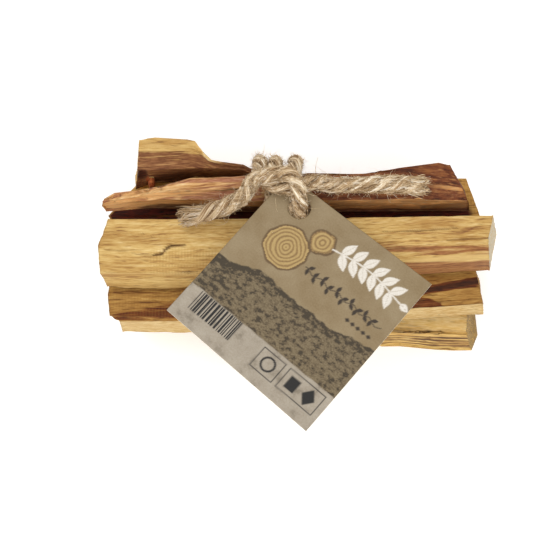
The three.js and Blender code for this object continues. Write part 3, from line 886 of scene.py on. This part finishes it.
card = {
    "corners": [(-23.2, -23.7), (23.2, -24.8), (-23.5, 23.7), (22.7, 24.7)],  # cut by hand, not quite square
    "side": 47, "cell": 0.25, "thickness": 0.4, "hole": (-15.6, 18.6), "holeRadius": 2.9,
    "centre": (0.35, 2.9, 39.3), "turn": -40.5, "lift": -2.5,
    "flatAt": 18, "bend": 0.0006, "ripple": 0.05,
    "plain": "#8C7857", "plainLow": "#998768", "white": "#E6E0D6", "darkInk": "#3A3026", "bar": "#242220",
    "land": ["#433929", "#6B5C44", "#7F7055"], "stone": ["#857B6B", "#A49989", "#AEA494"],
    "ochre": ["#6A5438", "#96794C", "#B89C66"], "board": "#DDD3C0",
    "slices": [(-11.4, 8.4, 6.2), (-5.2, 15.3, 3.6)],  # middle and radius of each
    "lozenges": [12.6, 14.3, 16.0, 17.7, 19.4],  # a row of small ones under the sprigs
    "strokes": (-13.1, -16.9, 6.6, 2.9),  # middle and half sides of their row
    "frames": [(5.1, 3.5), (15.7, 5.7)], "low": -18,  # middles and half widths, and where their row lies
}
cardInks = ("land", "stone", "scrub", "white", "darkInk", "ochre", "ringTone", "strokes", "bar")


def inkEdge(distance):
    # 1 inside a printed shape and 0 outside, over about one cell of the card's mesh
    return 1 - easeBetween(distance, -0.13, 0.13)


def leafInk(u, v, leaf):
    # a pointed leaf with a bare vein
    baseU, baseV, angle, length, width = leaf
    du, dv = u - baseU, v - baseV
    if abs(du) > length or abs(dv) > length:
        return 0
    along = du * math.cos(angle) + dv * math.sin(angle)
    across = abs(-du * math.sin(angle) + dv * math.cos(angle))
    if not 0 < along < length:
        return 0
    half = width / 2 * math.sin(math.pi * (along / length) ** 0.8)
    vein = inkEdge(across - 0.02) if width > 1.5 and along < 0.8 * length else 0
    return inkEdge(across - half) * (1 - 0.8 * vein)


def sprigLeaves(fromU, toU, spacing, stem, length, width, lean):
    leaves, u = [], fromU
    while u <= toU:
        slope = (stem(u + 0.1) - stem(u)) / 0.1
        for way in (-1, 1):
            leaves.append((u, stem(u), math.atan(slope) + way * lean, length, width))
        u += spacing
    return leaves


def upperStem(u):
    return 16.0 + 1.1 * math.sin(u / 5.5)


def lowerStem(u):
    return 7.3 + 0.45 * math.sin(u / 0.8)


upperLeaves = sprigLeaves(0.5, 19, 3.1, upperStem, 4.7, 2.3, math.radians(58))
upperLeaves.append((20, 15.6, -0.2, 2.9, 1.9))
lowerLeaves = sprigLeaves(-3.4, 19.4, 2.3, lowerStem, 1.9, 1.0, math.radians(62))


def printAt(u, v):
    # how much of each ink lies at this place on the card
    ink = dict.fromkeys(cardInks, 0)
    horizon = noise.noise(Vector((u / 7, 3.3, 0))) + 0.5 * noise.noise(Vector((u / 1.9, 8.1, 0))) - 0.9
    horizon += 2.6 * easeBetween(u, 6, 23) - 3.2 * easeBetween(-u, 12, 23)
    ink["land"] = inkEdge(v - horizon)
    ink["stone"] = inkEdge(v + 13.9 + 0.15 * noise.noise(Vector((u / 3, 0, 5))))
    scrub = noise.fractal(Vector((u / 1.7, v / 1.0, 2)), 0.6, 2.1, 4)
    ink["scrub"] = easeBetween(scrub + 0.55 * easeBetween(v, horizon - 3.5, horizon)
                               + 0.25 * easeBetween(-u, 8, 20), -0.4, 1.1)
    ink["white"] = max([leafInk(u, v, leaf) for leaf in upperLeaves]
                       + [inkEdge(abs(v - upperStem(u)) - 0.2) if -2.2 < u < 20.4 else 0])
    ink["darkInk"] = max([leafInk(u, v, leaf) for leaf in lowerLeaves]
                         + [inkEdge(abs(v - lowerStem(u)) - 0.13) if -4.4 < u < 20.6 else 0]
                         + [inkEdge(0.4 * (abs(u - middle) / 0.75 + abs(v - 3.7) / 0.6 - 1))
                            for middle in card["lozenges"]])
    for middleU, middleV, radius in card["slices"]:
        away = math.hypot(u - middleU, v - middleV) + 0.5 * noise.noise(Vector((u / 2.5, v / 2.5, 7)))
        if away < radius + 0.3:
            ink["ochre"] = max(ink["ochre"], inkEdge(away - radius))
            rings = 0.5 + 0.5 * math.sin(2 * math.pi * away / 1.05)
            ink["ringTone"] = 0 if away > radius - 0.5 else 0.25 + 0.75 * rings
    middleU, middleV, halfWide, halfHigh = card["strokes"]
    ink["strokes"] = inkEdge(abs(u - middleU) - halfWide) * inkEdge(abs(v - middleV) - halfHigh)
    # two frames, with a ring in the first, and a box and a lozenge in the second
    up = abs(v - card["low"])
    bars = [abs(max(abs(u - middle) - half, up - 3)) - 0.12 for middle, half in card["frames"]]
    bars += [abs(math.hypot(u - 5.1, up) - 1.8) - 0.28, max(abs(u - 13) - 1.5, up - 1.8),
             0.7 * (abs(u - 18.1) + 0.8 * up - 2)]
    ink["bar"] = inkEdge(min(bars))
    return ink


def hungCard():
    bm = bmesh.new()
    cells = round(card["side"] / card["cell"])
    bmesh.ops.create_grid(bm, x_segments=cells, y_segments=cells, size=0.5)
    nearLeft, nearRight, farLeft, farRight = [Vector(corner) for corner in card["corners"]]
    for vertex in bm.verts:
        u, v = vertex.co.x + 0.5, vertex.co.y + 0.5
        vertex.co.xy = nearLeft.lerp(nearRight, u).lerp(farLeft.lerp(farRight, u), v)
    hole = Vector((*card["hole"], 0))
    bmesh.ops.delete(bm, geom=[v for v in bm.verts if (v.co - hole).length < card["holeRadius"] - 0.1],
                     context="VERTS")
    for vertex in bm.verts:
        away = vertex.co - hole
        if vertex.is_boundary and away.length < card["holeRadius"] + 0.6:
            vertex.co = hole + away.normalized() * card["holeRadius"]
    bmesh.ops.recalc_face_normals(bm, faces=bm.faces)
    layers = {kind: bm.verts.layers.float.new(kind) for kind in cardInks}
    place = bm.verts.layers.float_vector.new("cardPlace")
    for vertex in bm.verts:
        vertex[place] = vertex.co
        for kind, amount in printAt(vertex.co.x, vertex.co.y).items():
            vertex[layers[kind]] = amount
    under = bmesh.ops.extrude_face_region(bm, geom=bm.faces[:])["geom"]
    upper = set(bm.verts) - set(under)
    bmesh.ops.translate(bm, verts=list(upper), vec=(0, 0, card["thickness"]))
    for face in bm.faces:
        face.material_index = 0 if all(vertex in upper for vertex in face.verts) else 1
    # the rim's faces come in no fixed order, so all are sorted by place
    bm.faces.sort(key=lambda face: face.calc_center_median().dot((1, 0.0173, 0.31)))
    bmesh.ops.recalc_face_normals(bm, faces=bm.faces)
    for vertex in bm.verts:
        u, v = vertex.co.xy
        vertex.co.z += card["bend"] * (v - card["flatAt"]) ** 2
        vertex.co.z += card["ripple"] * noise.noise(Vector((u / 14, v / 14, 1)))
    turned = (Matrix.Rotation(math.radians(card["lift"]), 4, "X")
              @ Matrix.Rotation(math.radians(card["turn"]), 4, "Z"))
    for vertex in bm.verts:
        vertex.co = fromDrawing(Vector(card["centre"]) + turned @ vertex.co)
    return bm


def printedCardFinish():
    # Kraft board, 0.4 mm, offset printed: matt, a little mottled, with ink that sits flat
    material, tree, shader = newMaterial("printedKraftBoard")
    place = attributeOf(tree, "cardPlace", "Vector")
    ink = {kind: attributeOf(tree, kind) for kind in cardInks}
    speck = noiseOf(tree, place, 0.45, 0.45, 3, 0.6)
    scrub = weighted(tree, (ink["scrub"], -0.75), (speck, 1))
    ring = weighted(tree, (speck, 0.25), (ink["ringTone"], 1))
    colour = rampOf(tree, noiseOf(tree, place, 9, 9, 2, 0.6), (0.35, 0.65), (card["plain"], card["plainLow"]))
    for kind, value, places in (("land", scrub, (0, 0.28, 0.55)),
                                ("stone", noiseOf(tree, place, 4, 4, 5, 0.6), (0.3, 0.45, 0.65)),
                                ("ochre", ring, (0.15, 0.5, 0.95))):
        colour = mixOf(tree, ink[kind], colour, rampOf(tree, value, places, card[kind]))
    # a row of plain strokes of no set width
    across = addNode(tree, "ShaderNodeSeparateXYZ", {0: place}).outputs["X"]
    widths = addNode(tree, "ShaderNodeTexNoise", {"noise_dimensions": "1D", "Scale": 1.9, "Detail": 0,
                                                  "W": across}).outputs["Fac"]
    strokes = calculate(tree, "MULTIPLY", fadeOf(tree, widths, 0.46, 0.49), ink["strokes"])
    for share, flat in ((ink["white"], "white"), (ink["darkInk"], "darkInk"), (ink["bar"], "bar"),
                        (strokes, "bar")):
        colour = mixOf(tree, share, colour, fromHex(card[flat]))
    colour = mixOf(tree, 0.8, colour, rampOf(tree, speck, (0.3, 0.7), ("#E9E4DC", "#FFFFFF")), "MULTIPLY")
    setNode(tree, shader, {"Base Color": colour, "Normal": bumpOf(tree, speck, 0.25, 0.03),
                           "Roughness": 0.58, "Specular IOR Level": 0.35})
    return material


def bareBoardFinish():
    # The same board where it is cut and on its back, without ink: pale, with short fibres in it
    material, tree, shader = newMaterial("bareKraftBoard")
    pulp = noiseOf(tree, attributeOf(tree, "cardPlace", "Vector"), 1 / 1.2, 1 / 3, 4, 0.7)
    setNode(tree, shader, {"Base Color": rampOf(tree, pulp, (0.35, 0.55), ("#C9BDA6", card["board"])),
                           "Roughness": 0.9})
    return material


newPiece("hung_card", hungCard(), [printedCardFinish(), bareBoardFinish()], "card", "card")

# Studio: pale floor, large soft lights above and to the front

studio = {
    "floor": "#F8F7F5", "glow": 0.34, "world": "#FFFFFF", "worldStrength": 0.62, "aim": (0, 0, 0.03),
    "lights": [{"name": "keyLight", "place": (-0.25, 0.3, 0.75), "size": 0.7, "power": 2.5},
               {"name": "frontLight", "place": (0.15, -0.6, 0.72), "size": 0.7, "power": 4.1}],
}


def addStudio():
    bm = bmesh.new()
    bmesh.ops.create_grid(bm, x_segments=1, y_segments=1, size=3)
    mesh = bpy.data.meshes.new("paleFloor")
    bm.to_mesh(mesh)
    bm.free()
    material, tree, shader = newMaterial("matPaleFloor")
    pale = fromHex(studio["floor"])
    setNode(tree, shader, {"Base Color": pale, "Roughness": 0.9, "Emission Color": pale,
                           "Emission Strength": studio["glow"]})
    mesh.materials.append(material)
    floor = addObject("paleFloor", mesh)
    for lamp in studio["lights"]:
        data = bpy.data.lights.new(lamp["name"], "AREA")
        data.size = lamp["size"]
        data.energy = lamp["power"]
        light = addObject(lamp["name"], data)
        light.location = lamp["place"]
        toward = Vector(studio["aim"]) - light.location
        light.rotation_euler = toward.to_track_quat("-Z", "Y").to_euler()
    world = bpy.data.worlds.new("studioWorld")
    world.use_nodes = True
    setNode(world.node_tree, world.node_tree.nodes["Background"],
            {"Color": fromHex(studio["world"]), "Strength": studio["worldStrength"]})
    bpy.context.scene.world = world
    bpy.context.scene.view_settings.view_transform = "Standard"
    print("studio lit")


addStudio()
